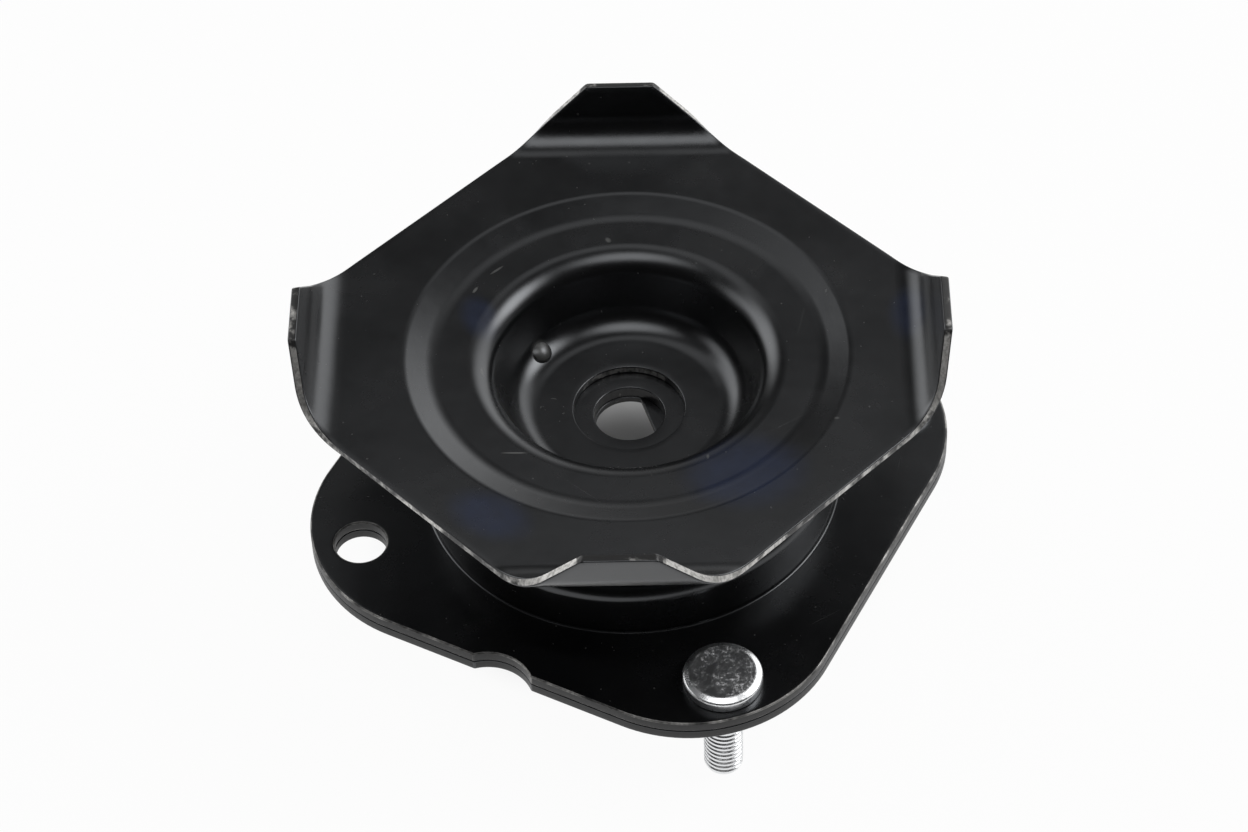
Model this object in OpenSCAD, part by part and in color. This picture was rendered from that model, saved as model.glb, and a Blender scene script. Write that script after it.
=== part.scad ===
// Strut mount with a square spring seat, a drawn drum plate and a bonded rubber bush.
// Millimetres. The origin lies on the rod axis in the face that bolts to the body.
// +Z points to the spring seat.

/* [Mount plate] */
// Side of the rounded square, both sheets
plate_side = 114.3; // [100:0.1:130]
// Corner radius of the rounded square
plate_corner_r = 30.5; // [20:0.5:40]
// Thickness of each of the two sheets
plate_t = 2.4; // [1.6:0.1:3.5]
// Radius of the circle through the four corner fastenings
bolt_circle_r = 58.5; // [52:0.1:66]
// Turn of the plate's corners from the seat's corners
plate_turn = 18; // [0:1:45]
// Diameter of the one open corner hole
open_hole_d = 10.7; // [7:0.1:14]
// Radius of the shallow notch in one side
notch_r = 9.5; // [5:0.5:15]
// Depth of that notch
notch_depth = 2.5; // [1:0.1:4]
// Diameter of the opening in the body-side sheet
access_d = 56; // [48:1:64]

/* [Drum] */
// Outside diameter of the drum drawn in the strut-side sheet
drum_d = 86; // [78:0.5:96]
// Height of the drum over the plate
drum_h = 12.6; // [10.5:0.1:16]
// Outside radius of the drum's shoulder
drum_shoulder_r = 3.6; // [3.6:0.1:5]
// Radius at the foot of the drum
drum_foot_r = 0.6; // [0.4:0.1:3]
// Diameter of the mouth in the drum's top
drum_mouth_d = 54; // [52:0.5:60]

/* [Spring seat] */
// Side of the square blank
seat_side = 114.3; // [104:0.1:126]
// Thickness of the seat
seat_t = 1.8; // [1.2:0.1:2.6]
// Shift of the square from the rod axis, towards -X
seat_shift = 1.2; // [0:0.1:4]
// Height of the seat's upper face over the body face
seat_z = 41.8; // [39:0.1:48]
// Start of each corner bend from the square's centre
bend_start = 55.8; // [52:0.1:60]
// Inside radius of the corner bends
bend_r = 7; // [4:0.1:9]
// Angle each corner is turned up
bend_angle = 79; // [50:1:88]
// Width of each cut corner tip
tip_w = 14.2; // [8:0.1:20]
// Diameter where the shallow step begins
step_d = 91.4; // [88:0.1:96]
// Drop of the shallow step
step_drop = 2; // [1:0.1:3]
// Slope of the shallow step
step_slope = 20; // [15:1:30]
// Radii at both ends of the step
step_r = 4; // [3:0.1:5]
// Diameter where the bowl's rim begins to turn down
rim_d = 65; // [62:0.1:68]
// Radius of the bowl's rim
rim_r = 6; // [4:0.1:7]
// Slope of the bowl's wall
wall_slope = 72; // [60:1:80]
// Radius round the bowl's floor
floor_r = 4; // [3:0.1:5]
// Depth of the bowl under the seat's upper face
bowl_depth = 17.1; // [15:0.1:18]
// Diameter of the hole in the bowl's floor
seat_hole_d = 22.7; // [18:0.1:26]
// Base diameter of the small pip in the bowl
pip_d = 3.8; // [2:0.1:5]
// Height of the pip
pip_h = 1.1; // [0.4:0.1:1.6]
// Place of the pip round the axis, from +X
pip_turn = 142; // [130:1:160]
// Lean of the pip up the rounding between the bowl's floor and wall
pip_lean = 42; // [30:1:50]

/* [Inner metal] */
// Thickness of the inner cup
cup_t = 2.8; // [2:0.1:3.4]
// Hole through the inner cup
cup_hole_d = 14.4; // [13:0.1:18]
// Diameter of the cup's flat crown
crown_d = 32; // [28:0.5:34]
// Outside radius of the crown's edge
crown_r = 4.3; // [4:0.1:6]
// Radius at the foot of the cup
cup_foot_r = 2; // [1:0.1:3]
// Slope of the cup's skirt
skirt_slope = 75; // [65:1:82]
// Height of the upper face of the cup's flange
flange_z = 11; // [9.5:0.1:12]
// Diameter of the cup's flange
flange_d = 67; // [60:0.5:72]
// Thickness of the keyed plate
key_t = 1.4; // [1:0.1:2]
// Diameter of the keyed plate
key_plate_d = 27; // [22:0.5:30]
// Diameter of the keyed hole
key_hole_d = 14; // [12:0.1:15]
// Distance of the keyed hole's flat from the axis
key_flat = 4.3; // [3.5:0.1:6]

/* [Rubber] */
// Inside diameter of the rubber under the cup
rubber_bore_d = 50; // [46:0.5:52]
// Height of the rubber collar over the drum
collar_h = 0.8; // [0.4:0.1:1.5]
// Gap between the collar and the drum's mouth
collar_gap = 0.4; // [0.2:0.1:1]

/* [Studs] */
// Thread diameter
stud_d = 8; // [6:0.5:10]
// Length under the body face
stud_length = 21.5; // [15:0.5:35]
// Chamfer at the tip
stud_chamfer = 0.9; // [0.4:0.1:1.5]
// Head diameter
head_d = 16; // [13:0.1:20]
// Head height
head_h = 3; // [2:0.1:5]
// Rounding of the head's upper edge
head_edge_r = 1.4; // [0.5:0.1:1.9]
// Diameter of the pressed neck
neck_d = 9.2; // [8.5:0.1:11]
// Gap round the neck in both sheets
neck_gap = 0.05; // [0:0.01:0.2]

/* [Hidden] */
$fn = 96;
// Levels up the axis
plate_top = 2 * plate_t;
drum_top = plate_top + drum_h;
floor_z = seat_z - bowl_depth;
crown_z = floor_z - seat_t;
// Corners of the plate, from the open hole
hole_angle = 180 + plate_turn;
stud_angles = [hole_angle + 90, hole_angle + 180, hole_angle + 270];
// Width of the seat's turned-up corners
half_diag = seat_side / sqrt(2);
bend_mid_r = bend_r + seat_t / 2;
bend_half_w = half_diag - bend_start;
bend_length = bend_mid_r * bend_angle * PI / 180;
tab_half_w = bend_half_w - bend_length;
tab_length = tab_half_w - tip_w / 2;
bend_parts = 10;
// Length of each corner strip in the flat, and what is left on its sides to be cut off
corner_lead = 2;
side_spare = 1;
// Join of the seat's round centre with its square
seat_ring_r = step_d / 2 + 3;
// Join of the drum with its square flange
drum_ring_r = drum_d / 2 + drum_foot_r + 2;
ring_lap = 0.5;
// What a rounding stands proud of the faces it joins
round_proud = 0.001;
pip_ball_r = (pip_d * pip_d / 4 + pip_h * pip_h) / (2 * pip_h);
black = [0.07, 0.07, 0.08];
zinc = [0.72, 0.73, 0.74];

// Sector of a circle, as a straight-sided wedge about the origin
module wedge(reach, from, to) {
    middle = (from + to) / 2;
    polygon([[0, 0], reach * unit(from), reach * unit(middle), reach * unit(to)]);
}

// What a bend takes off a sharp corner: the outside of its outer arc and the inside of its inner arc
module bend_waste(r_in, r_out, from, to) {
    difference() {
        wedge(2 * r_out, from, to);
        circle(r = r_out + round_proud);
    }
    intersection() {
        circle(r = r_in + round_proud);
        wedge(2 * r_out, from - 5, to + 5);
    }
}

// Section of a bent sheet. Each leg is a straight length, a turn (left is positive) and the
// radius of the face that is followed; the sheet lies to the left of the path.
function unit(angle) = [cos(angle), sin(angle)];
function left(angle) = unit(angle + 90);
function heading(legs, i) = i == 0 ? 0 : heading(legs, i - 1) + legs[i - 1][1];
function leg_start(legs, i) = i == 0 ? [0, 0] : bend_end(legs, i - 1);
function leg_end(legs, i) = leg_start(legs, i) + legs[i][0] * unit(heading(legs, i));
function to_centre(legs, i) = sign(legs[i][1]) * legs[i][2];
function bend_centre(legs, i) = leg_end(legs, i) + to_centre(legs, i) * left(heading(legs, i));
function bend_end(legs, i) = bend_centre(legs, i) - to_centre(legs, i) * left(heading(legs, i + 1));

// Points of one face, this far to the left of the path: a sharp corner outside a bend, a chord inside it
function face_points(legs, offset, i) =
    legs[i][1] == 0 ? [leg_end(legs, i) + offset * left(heading(legs, i))] :
    (legs[i][1] > 0) == (offset == 0) ? [outer_corner(legs, offset, i)] : [
        leg_end(legs, i) + offset * left(heading(legs, i)),
        bend_end(legs, i) + offset * left(heading(legs, i + 1))
    ];
function outer_corner(legs, offset, i) =
    leg_end(legs, i) + offset * left(heading(legs, i))
    + (legs[i][2] + offset) * tan(abs(legs[i][1]) / 2) * unit(heading(legs, i));

module sheet_run(legs, t) {
    last = len(legs) - 1;
    followed = [for (i = [0 : last]) each face_points(legs, 0, i)];
    other = [for (i = [last : -1 : 0]) let (points = face_points(legs, t, i))
        each [for (k = [len(points) - 1 : -1 : 0]) points[k]]];
    difference() {
        polygon(concat([[0, 0]], followed, other, [[0, t]]));
        for (i = [0 : last - 1]) {
            turn = legs[i][1];
            radius = legs[i][2];
            translate(bend_centre(legs, i)) rotate(heading(legs, i)) {
                if (turn > 0) bend_waste(radius - t, radius, -90, turn - 90);
                if (turn < 0) bend_waste(radius, radius + t, turn + 90, 90);
            }
        }
    }
}

// Length along a slope that closes a rise, and the ground that slope with its two bends covers
function slope_length(rise, angle, radii) = (rise - radii * (1 - cos(angle))) / sin(angle);
function slope_ground(rise, angle, radii) =
    radii * sin(angle) + slope_length(rise, angle, radii) * cos(angle);

// Point on the bolt circle
module on_bolt_circle(angle) {
    rotate(angle) translate([bolt_circle_r, 0]) children();
}

// Rounded square with the notch, the open hole and the neck holes
module plate_outline() {
    inset = plate_side / 2 - plate_corner_r;
    difference() {
        rotate(hole_angle + 45) {
            difference() {
                union() {
                    square([plate_side, 2 * inset], center = true);
                    square([2 * inset, plate_side], center = true);
                    for (x = [-inset, inset]) {
                        for (y = [-inset, inset]) {
                            translate([x, y]) circle(r = plate_corner_r);
                        }
                    }
                }
                translate([plate_side / 2 - notch_depth + notch_r, 0]) circle(r = notch_r);
            }
        }
        on_bolt_circle(hole_angle) circle(d = open_hole_d);
        for (angle = stud_angles) {
            on_bolt_circle(angle) circle(d = neck_d + 2 * neck_gap);
        }
    }
}

// Round centre of the seat: step, rim, wall and floor of the bowl
module seat_section() {
    wall_drop = bowl_depth - step_drop;
    step_ground = slope_ground(step_drop, step_slope, 2 * step_r);
    wall_ground = slope_ground(wall_drop, wall_slope, rim_r + floor_r);
    translate([seat_ring_r, seat_z]) rotate(180) sheet_run([
        [seat_ring_r - step_d / 2, step_slope, step_r],
        [slope_length(step_drop, step_slope, 2 * step_r), -step_slope, step_r],
        [step_d / 2 - step_ground - rim_d / 2, wall_slope, rim_r],
        [slope_length(wall_drop, wall_slope, rim_r + floor_r), -wall_slope, floor_r],
        [rim_d / 2 - wall_ground - seat_hole_d / 2, 0, 0]
    ], seat_t);
}

// Radius at which the bowl's flat floor ends
function floor_edge_r() = rim_d / 2 - slope_ground(bowl_depth - step_drop, wall_slope, rim_r + floor_r);

// Turned-up corner on +X before its sides are cut
module corner_strip() {
    legs = [[corner_lead, bend_angle, bend_r + seat_t], [tab_length, 0, 0]];
    translate([bend_start - corner_lead, 0, seat_z - seat_t]) rotate([90, 0, 0])
        linear_extrude(height = 2 * (bend_half_w + 2 * side_spare), center = true) sheet_run(legs, seat_t);
}

// Cutting section across the sheet at a point of the corner on +X: four points, edge first.
// The angle is that of the bend and the run is the way on along the straight tab.
function cut_point(r, angle, run, y) = [
    bend_start + r * sin(angle) + run * cos(angle),
    y,
    seat_z + bend_r - r * cos(angle) + run * sin(angle)
];
function cut_section(angle, run) =
    let (inside = bend_r - side_spare)
    let (outside = bend_r + seat_t + side_spare)
    let (edge = bend_half_w - bend_mid_r * angle * PI / 180 - run)
    let (far = bend_half_w + 4 * side_spare) [
        cut_point(inside, angle, run, edge),
        cut_point(outside, angle, run, edge),
        cut_point(outside, angle, run, far),
        cut_point(inside, angle, run, far)
    ];
function swap_xy(points) = [for (p = points) [p[1], p[0], p[2]]];

// Waste along the side of the square from the corner on +X to the corner on +Y, up both tabs
module side_waste() {
    steps = [for (i = [bend_parts : -1 : 0]) cut_section(i * bend_angle / bend_parts, 0)];
    corner_x = concat([cut_section(bend_angle, tab_length + side_spare)], steps);
    last = len(corner_x) - 1;
    corner_y = [for (i = [last : -1 : 0]) swap_xy(corner_x[i])];
    sections = concat(corner_x, corner_y);
    end = 4 * (len(sections) - 1);
    walls = [for (k = [0 : 4 : end - 4]) for (i = [0 : 3]) let (j = (i + 1) % 4)
        each [[k + i, k + j, k + 4 + j], [k + i, k + 4 + j, k + 4 + i]]];
    ends = [[3, 2, 1], [3, 1, 0], [end, end + 1, end + 2], [end, end + 2, end + 3]];
    polyhedron(points = [for (section = sections) each section], faces = concat(walls, ends));
}

module spring_seat() {
    pip_box = [2 * pip_d, 2 * pip_d, 2 * pip_h + seat_t / 2];
    pip_depth = floor_r + pip_ball_r - pip_h;
    color(black) union() {
        rotate_extrude() seat_section();
        translate([-seat_shift, 0, 0]) difference() {
            union() {
                translate([0, 0, seat_z - seat_t]) linear_extrude(height = seat_t) difference() {
                    intersection() {
                        rotate(45) square(seat_side + 2 * side_spare, center = true);
                        square(2 * bend_start, center = true);
                    }
                    translate([seat_shift, 0]) circle(r = seat_ring_r - ring_lap);
                }
                for (quarter = [0 : 3]) {
                    rotate(90 * quarter) corner_strip();
                }
            }
            for (quarter = [0 : 3]) {
                rotate(90 * quarter) side_waste();
            }
        }
        rotate(pip_turn) translate([floor_edge_r(), 0, floor_z + floor_r]) rotate([0, -pip_lean, 0])
            translate([0, 0, -pip_depth]) intersection() {
                sphere(r = pip_ball_r);
                translate([0, 0, pip_ball_r - seat_t / 4]) cube(pip_box, center = true);
            }
    }
}

// Inner cup: flange, skirt and crown with the rod hole
module cup_section() {
    rise = crown_z - flange_z;
    ground = slope_ground(rise, skirt_slope, cup_foot_r + crown_r);
    translate([flange_d / 2, flange_z]) rotate(180) sheet_run([
        [flange_d / 2 - crown_d / 2 - ground, -skirt_slope, cup_foot_r],
        [slope_length(rise, skirt_slope, cup_foot_r + crown_r), skirt_slope, crown_r],
        [crown_d / 2 - cup_hole_d / 2, 0, 0]
    ], cup_t);
}

module inner_cup() {
    color(black) rotate_extrude() cup_section();
}

// Thin plate under the crown whose hole has a flat
module keyed_plate() {
    color(black) translate([0, 0, crown_z - cup_t - key_t]) linear_extrude(height = key_t) difference() {
        circle(d = key_plate_d);
        intersection() {
            circle(d = key_hole_d);
            rotate(plate_turn) translate([key_flat - key_hole_d, -key_hole_d / 2]) square(key_hole_d);
        }
    }
}

// Rubber between the drum, the body-side sheet and the inner cup
module rubber_section() {
    drum_in = drum_d / 2 - plate_t;
    collar_out = drum_mouth_d / 2 - collar_gap;
    collar_top = drum_top + collar_h;
    cup_foot = crown_d / 2 + slope_ground(crown_z - flange_z, skirt_slope, cup_foot_r + crown_r);
    skirt_foot = cup_foot - cup_foot_r * sin(skirt_slope) - cup_t / 2 / sin(skirt_slope);
    skirt_lean = (collar_top - flange_z) / tan(skirt_slope);
    difference() {
        union() {
            translate([rubber_bore_d / 2, plate_t])
                square([drum_in - rubber_bore_d / 2, drum_top - 2 * plate_t]);
            polygon([
                [skirt_foot, flange_z],
                [collar_out, flange_z],
                [collar_out, collar_top],
                [skirt_foot - skirt_lean, collar_top]
            ]);
        }
        cup_section();
        drum_section();
    }
}

module rubber_bush() {
    color([0.05, 0.05, 0.05]) rotate_extrude() rubber_section();
}

// Drum of the strut-side sheet
module drum_section() {
    translate([drum_ring_r, plate_top]) rotate(180) sheet_run([
        [drum_ring_r - drum_d / 2 - drum_foot_r, -90, drum_foot_r],
        [drum_h - drum_foot_r - drum_shoulder_r, 90, drum_shoulder_r],
        [drum_d / 2 - drum_shoulder_r - drum_mouth_d / 2, 0, 0]
    ], plate_t);
}

module drum_plate() {
    color(black) union() {
        rotate_extrude() drum_section();
        translate([0, 0, plate_t]) linear_extrude(height = plate_t) difference() {
            plate_outline();
            circle(r = drum_ring_r - ring_lap);
        }
    }
}

module body_plate() {
    color(black) linear_extrude(height = plate_t) difference() {
        plate_outline();
        circle(d = access_d);
    }
}

// Pressed stud: rounded head, neck in both sheets and threaded shank
module stud_section() {
    head_r = head_d / 2;
    translate([0, plate_top]) square([head_r, head_h - head_edge_r]);
    translate([0, plate_top]) square([head_r - head_edge_r, head_h]);
    translate([head_r - head_edge_r, plate_top + head_h - head_edge_r]) intersection() {
        circle(r = head_edge_r);
        square(head_edge_r);
    }
    square([neck_d / 2, plate_top]);
    polygon([
        [0, 0],
        [stud_d / 2, 0],
        [stud_d / 2, stud_chamfer - stud_length],
        [stud_d / 2 - stud_chamfer, -stud_length],
        [0, -stud_length]
    ]);
}

module studs() {
    color(zinc) for (angle = stud_angles) {
        on_bolt_circle(angle) rotate_extrude() stud_section();
    }
}

spring_seat();
inner_cup();
keyed_plate();
rubber_bush();
drum_plate();
body_plate();
studs();
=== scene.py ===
"""Strut mount: the looks, the light and the camera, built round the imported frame.

Lengths are in millimetres while a piece is drawn, and in metres once its mesh is
finished. The finishes, lamps, floor and camera are in metres, unless a docstring
says otherwise.
"""

import logging
import math
from dataclasses import dataclass
from enum import Enum
from functools import reduce
from typing import Any, Iterable, Optional, Union

import bmesh
import bpy
from mathutils import Matrix, Quaternion, Vector

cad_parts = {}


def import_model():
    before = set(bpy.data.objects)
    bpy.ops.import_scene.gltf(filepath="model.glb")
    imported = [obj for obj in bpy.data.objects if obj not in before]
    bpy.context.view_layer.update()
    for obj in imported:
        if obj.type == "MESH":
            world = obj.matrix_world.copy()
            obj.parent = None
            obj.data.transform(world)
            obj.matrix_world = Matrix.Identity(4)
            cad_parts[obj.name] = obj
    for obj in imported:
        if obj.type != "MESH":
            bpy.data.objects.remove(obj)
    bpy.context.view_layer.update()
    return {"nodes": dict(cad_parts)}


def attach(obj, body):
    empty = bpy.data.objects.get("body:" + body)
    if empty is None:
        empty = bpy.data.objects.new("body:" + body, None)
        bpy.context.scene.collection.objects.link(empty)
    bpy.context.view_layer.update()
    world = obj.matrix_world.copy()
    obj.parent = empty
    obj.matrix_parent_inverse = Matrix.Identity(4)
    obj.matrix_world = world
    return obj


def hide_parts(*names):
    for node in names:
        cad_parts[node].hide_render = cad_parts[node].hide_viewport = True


LOG = logging.getLogger("strut_mount")
BODY = "root"
MM = 0.001
UP = Vector((0.0, 0.0, 1.0))
ACROSS = Vector((0.0, 1.0, 0.0))
OUTWARDS = Vector((1.0, 0.0, 0.0))
INWARDS = Vector((-1.0, 0.0, 0.0))
ROOT_TWO = math.sqrt(2.0)

Triple = tuple[float, float, float]
Colour = Triple
Mesh = bmesh.types.BMesh
Values = dict[Union[int, str], Any]

BLACK: Colour = (0.0, 0.0, 0.0)
WHITE: Colour = (1.0, 1.0, 1.0)
SMOOTH_STEP = {"interpolation_type": "SMOOTHSTEP", "clamp": True}
COLOUR_MIX = {"data_type": "RGBA", "clamp_factor": True}
SPOT_CORE = 0.35
SCRATCH_SLENDER = 0.012
SCRATCH_SOFT = 0.05
BROKEN_ABOVE = 40.0
BROKEN_PARTS = 2


class Slot(Enum):
    """The material slots."""

    SEAT = "seat_paint"
    INNER = "inner_paint"
    RUBBER = "bush_rubber"
    PLATE = "plate_paint"
    STUD = "stud_zinc"


class EdgeWear(Enum):
    """How far the paint has gone from a sheared edge."""

    RUBBED = "rubbed"
    WORN = "worn"
    PAINTED = "painted"


@dataclass(frozen=True)
class Noise:
    """A cloudy pattern: its swells to the metre, its detail and its harshness."""

    scale: float
    detail: float
    harsh: float


SCRATCH_NOISE = Noise(1.0, 1.5, 0.4)


class Socket:
    """A shader value that can be reckoned with in plain arithmetic."""

    def __init__(
        self, sheet: "NodeSheet", out: Optional[bpy.types.NodeSocket]
    ) -> None:
        """Keeps the sheet of the value and the output that gives it, if any."""
        self.sheet = sheet
        self.out = out

    def reckon(self, operation: str, *terms: "Term") -> "Socket":
        """A Math node over the terms."""
        settings = {"operation": operation}
        return self.sheet.node("ShaderNodeMath", settings, dict(enumerate(terms)))

    def __add__(self, other: "Term") -> "Socket":
        """This value plus another."""
        return self.reckon("ADD", self, other)

    def __radd__(self, other: "Term") -> "Socket":
        """Another value plus this one."""
        return self.reckon("ADD", other, self)

    def __sub__(self, other: "Term") -> "Socket":
        """This value less another."""
        return self.reckon("SUBTRACT", self, other)

    def __rsub__(self, other: "Term") -> "Socket":
        """Another value less this one."""
        return self.reckon("SUBTRACT", other, self)

    def __mul__(self, other: "Term") -> "Socket":
        """This value times another."""
        return self.reckon("MULTIPLY", self, other)

    def __rmul__(self, other: "Term") -> "Socket":
        """Another value times this one."""
        return self.reckon("MULTIPLY", other, self)

    def most(self, other: "Term") -> "Socket":
        """The larger of two values."""
        return self.reckon("MAXIMUM", self, other)


Term = Union[Socket, float]


class NodeSheet:
    """The node tree of a material, a lamp or the world."""

    def __init__(self, tree: bpy.types.NodeTree) -> None:
        """Starts with an empty tree."""
        self.tree = tree
        tree.nodes.clear()

    def node(
        self,
        kind: str,
        settings: Optional[dict[str, Any]] = None,
        values: Optional[Values] = None,
        out: Union[int, str] = 0,
    ) -> Socket:
        """Adds one node.

        Args:
            kind: the node's type.
            settings: its own settings, set before its sockets.
            values: a link or a plain value for each named or numbered input.
            out: the output to return, where the node has one.

        Returns:
            The chosen output.
        """
        made = self.tree.nodes.new(kind)
        for name, value in (settings or {}).items():
            setattr(made, name, value)
        for key, value in (values or {}).items():
            if isinstance(value, Socket):
                self.tree.links.new(value.out, made.inputs[key])
            else:
                made.inputs[key].default_value = value
        return Socket(self, made.outputs[out] if len(made.outputs) else None)

    def place(self) -> Socket:
        """Object coordinates, in metres."""
        return self.node("ShaderNodeTexCoord", out="Object")

    def height(self, at: Socket) -> Socket:
        """The height of the coordinates, in metres."""
        return self.node("ShaderNodeSeparateXYZ", None, {"Vector": at}, "Z")

    def vector(self, operation: str, *terms: Any, out: str = "Vector") -> Socket:
        """A Vector Math node over the terms."""
        values = dict(enumerate(terms))
        return self.node("ShaderNodeVectorMath", {"operation": operation}, values, out)

    def turned(self, at: Socket, degrees: float) -> Socket:
        """Coordinates turned about Z."""
        values = {"Vector": at, "Angle": math.radians(degrees)}
        return self.node("ShaderNodeVectorRotate", {"rotation_type": "Z_AXIS"}, values)

    def noise(self, at: Socket, look: Noise) -> Socket:
        """A cloudy pattern between 0 and 1."""
        sizes = {"Scale": look.scale, "Detail": look.detail, "Roughness": look.harsh}
        return self.node("ShaderNodeTexNoise", None, {"Vector": at, **sizes}, "Fac")

    def span(self, value: Socket, low: float, high: float) -> Socket:
        """A soft step from 0 at low to 1 at high."""
        values = {"Value": value, "From Min": low, "From Max": high}
        return self.node("ShaderNodeMapRange", SMOOTH_STEP, values)

    def mix(self, share: Term, first: Any, second: Any) -> Socket:
        """A colour between two others."""
        values = {0: share, 6: opaque(first), 7: opaque(second)}
        return self.node("ShaderNodeMix", COLOUR_MIX, values, 2)

    def bump(
        self, height: Socket, depth: float, under: Optional[Socket] = None
    ) -> Socket:
        """A normal bent by a height.

        Args:
            height: the height, from 0 to about 1.
            depth: what a height of 1 is, in metres.
            under: another bent normal that this one lies on, if any.

        Returns:
            The bent normal.
        """
        values: Values = {"Height": height, "Distance": depth, "Strength": 1.0}
        if under is not None:
            values["Normal"] = under
        return self.node("ShaderNodeBump", None, values, "Normal")

    def spot(
        self, at: Socket, middle: Triple, half: Triple, degrees: float = 0.0
    ) -> Socket:
        """A soft spot.

        Args:
            at: coordinates, in metres.
            middle: its middle, in millimetres.
            half: half its length, width and height, in millimetres.
            degrees: how far it is turned about Z.

        Returns:
            1 in the spot and 0 outside it.
        """
        beside = self.vector("SUBTRACT", at, Vector(middle) * MM)
        sizes = tuple(1.0 / (size * MM) for size in half)
        local = self.vector("MULTIPLY", self.turned(beside, -degrees), sizes)
        return self.span(self.vector("LENGTH", local, out="Value"), 1.0, SPOT_CORE)

    def scratches(
        self, at: Socket, turns: Iterable[float], fine: float, keep: float
    ) -> Socket:
        """Thin straight scratches along several directions.

        Args:
            at: coordinates, in metres.
            turns: the direction of each family, in degrees about Z.
            fine: how many scratch widths fit in a metre.
            keep: the noise level above which a scratch shows.

        Returns:
            1 on a scratch and 0 beside it.
        """
        thin = (fine, fine * SCRATCH_SLENDER, fine * SCRATCH_SLENDER)
        families = []
        for turn in turns:
            along = self.vector("MULTIPLY", self.turned(at, turn), thin)
            level = self.noise(along, SCRATCH_NOISE)
            families.append(self.span(level, keep, keep + SCRATCH_SOFT))
        return reduce(Socket.most, families)

    def seen(self, glossy: bool) -> Socket:
        """What the camera sees, also through glass.

        Args:
            glossy: whether what glossy surfaces mirror counts too.

        Returns:
            1 for those rays and 0 for the others.
        """
        rays = ["Is Camera Ray", "Is Transmission Ray"]
        if glossy:
            rays.append("Is Glossy Ray")
        paths = [self.node("ShaderNodeLightPath", out=ray) for ray in rays]
        return reduce(Socket.most, paths)

    def cover(self, values: Values) -> None:
        """Ends a material in one Principled surface with these values."""
        surface = self.node("ShaderNodeBsdfPrincipled", None, values, "BSDF")
        self.node("ShaderNodeOutputMaterial", None, {"Surface": surface})


def opaque(value: Any) -> Any:
    """A colour with its alpha, or a link as it is."""
    return value if isinstance(value, Socket) else (*value, 1.0)


def new_material(name: str) -> tuple[bpy.types.Material, NodeSheet]:
    """Starts a material.

    Args:
        name: its name.

    Returns:
        The material and its empty node sheet.
    """
    made = bpy.data.materials.new(name)
    made.use_nodes = True
    return made, NodeSheet(made.node_tree)


@dataclass(frozen=True)
class ColourSpot:
    """One soft spot of colour in the paint, in millimetres; used for scuffs, bluish
    patches and painted highlights.
    """

    middle: Triple
    half: Triple
    turn: float = 0.0
    strength: float = 0.5

    def mask(self, sheet: NodeSheet, at: Socket) -> Socket:
        """The strength of the mark at the coordinates."""
        return sheet.spot(at, self.middle, self.half, self.turn) * self.strength


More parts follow.
